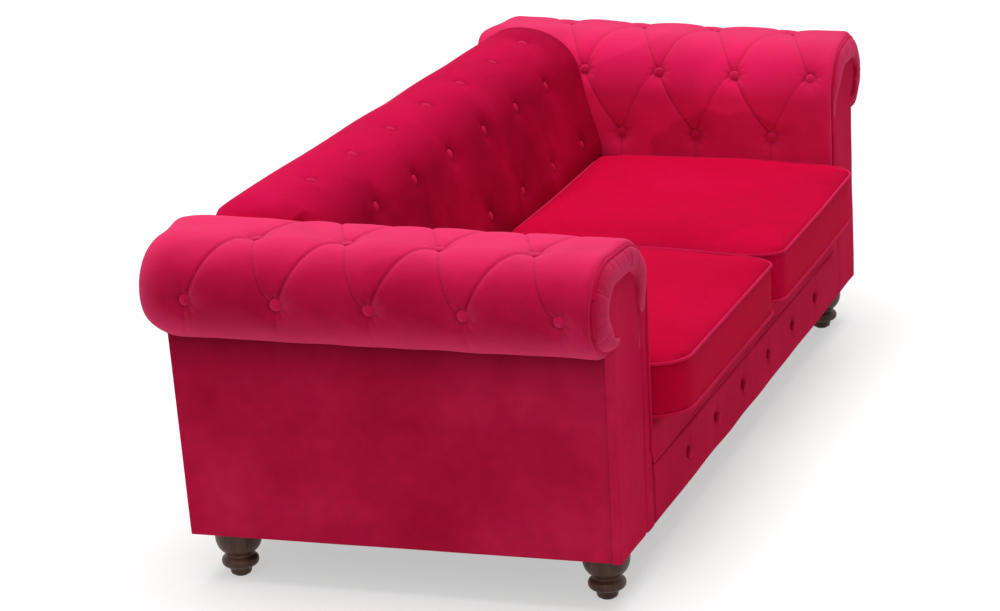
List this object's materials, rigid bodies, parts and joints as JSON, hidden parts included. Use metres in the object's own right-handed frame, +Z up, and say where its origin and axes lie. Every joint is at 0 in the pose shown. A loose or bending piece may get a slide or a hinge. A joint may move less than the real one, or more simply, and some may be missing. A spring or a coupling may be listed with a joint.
{
  "type": "chesterfield sofa",
  "caption": "Low velvet sofa with scrolled tufted arms and a tufted rolled back, buttoned front border, loose box seat cushions and turned feet.",
  "frame": {"origin": "on the floor under the middle of the sofa", "axes": "+X along the length to the right as seen from the front, -Y out of the front, +Z up"},
  "size_m": [1.982, 0.866, 0.681],
  "materials": {
    "velvet": "cherry red velvet with a soft sheen",
    "feet": "dark stained turned wood, satin",
    "timber": "bare sawn timber",
    "hardboard": "bare hardboard",
    "steel": "plain steel",
    "glides": "black plastic",
    "lining": "black lining cloth",
    "foam": "seat foam"
  },
  "bodies": {
    "frame": {"front_seat_rail": "timber", "rear_seat_rail": "timber", "rear_bottom_rail": "timber", "right_side_rail": "timber", "left_side_rail": "timber", "seat_cross_rails": "timber", "corner_blocks": "timber", "right_arm_scroll_boards": "timber", "left_arm_scroll_boards": "timber", "right_arm_top_rail": "timber", "left_arm_top_rail": "timber", "right_arm_form": "hardboard", "left_arm_form": "hardboard", "right_arm_outer_board": "hardboard", "left_arm_outer_board": "hardboard", "right_arm_outer_cover": "velvet", "left_arm_outer_cover": "velvet", "right_arm_pad": "velvet", "left_arm_pad": "velvet", "right_arm_buttons": "velvet", "left_arm_buttons": "velvet", "right_arm_facing": "velvet", "left_arm_facing": "velvet", "right_facing_pleats": "velvet", "left_facing_pleats": "velvet", "right_arm_piping": "velvet", "left_arm_piping": "velvet", "right_arm_rear_facing": "velvet", "left_arm_rear_facing": "velvet", "back_ribs": "timber", "back_top_rail": "timber", "back_lower_rail": "timber", "back_form": "hardboard", "back_outer_board": "hardboard", "outside_back_cover": "velvet", "back_pad": "velvet", "back_buttons": "velvet", "seat_springs": "steel", "spring_clips": "steel", "seat_deck": "lining", "dust_cover": "lining", "front_border_pad": "velvet", "front_border_buttons": "velvet", "front_border_welt": "velvet", "seat_lip": "velvet", "front_left_foot": "feet", "front_right_foot": "feet", "rear_left_foot": "feet", "rear_right_foot": "feet", "foot_plates": "steel", "foot_bolts": "steel", "foot_glides": "glides"},
    "left_cushion": {"left_cushion_cover": "velvet", "left_cushion_core": "foam", "left_cushion_piping": "velvet"},
    "right_cushion": {"right_cushion_cover": "velvet", "right_cushion_core": "foam", "right_cushion_piping": "velvet"}
  },
  "joints": [
    {"name": "left_cushion_lift", "type": "slide", "parent": "frame", "child": "left_cushion", "axis": [0, 0, 1], "range_m": [0, 0.3]},
    {"name": "right_cushion_lift", "type": "slide", "parent": "frame", "child": "right_cushion", "axis": [0, 0, 1], "range_m": [0, 0.3]}
  ]
}
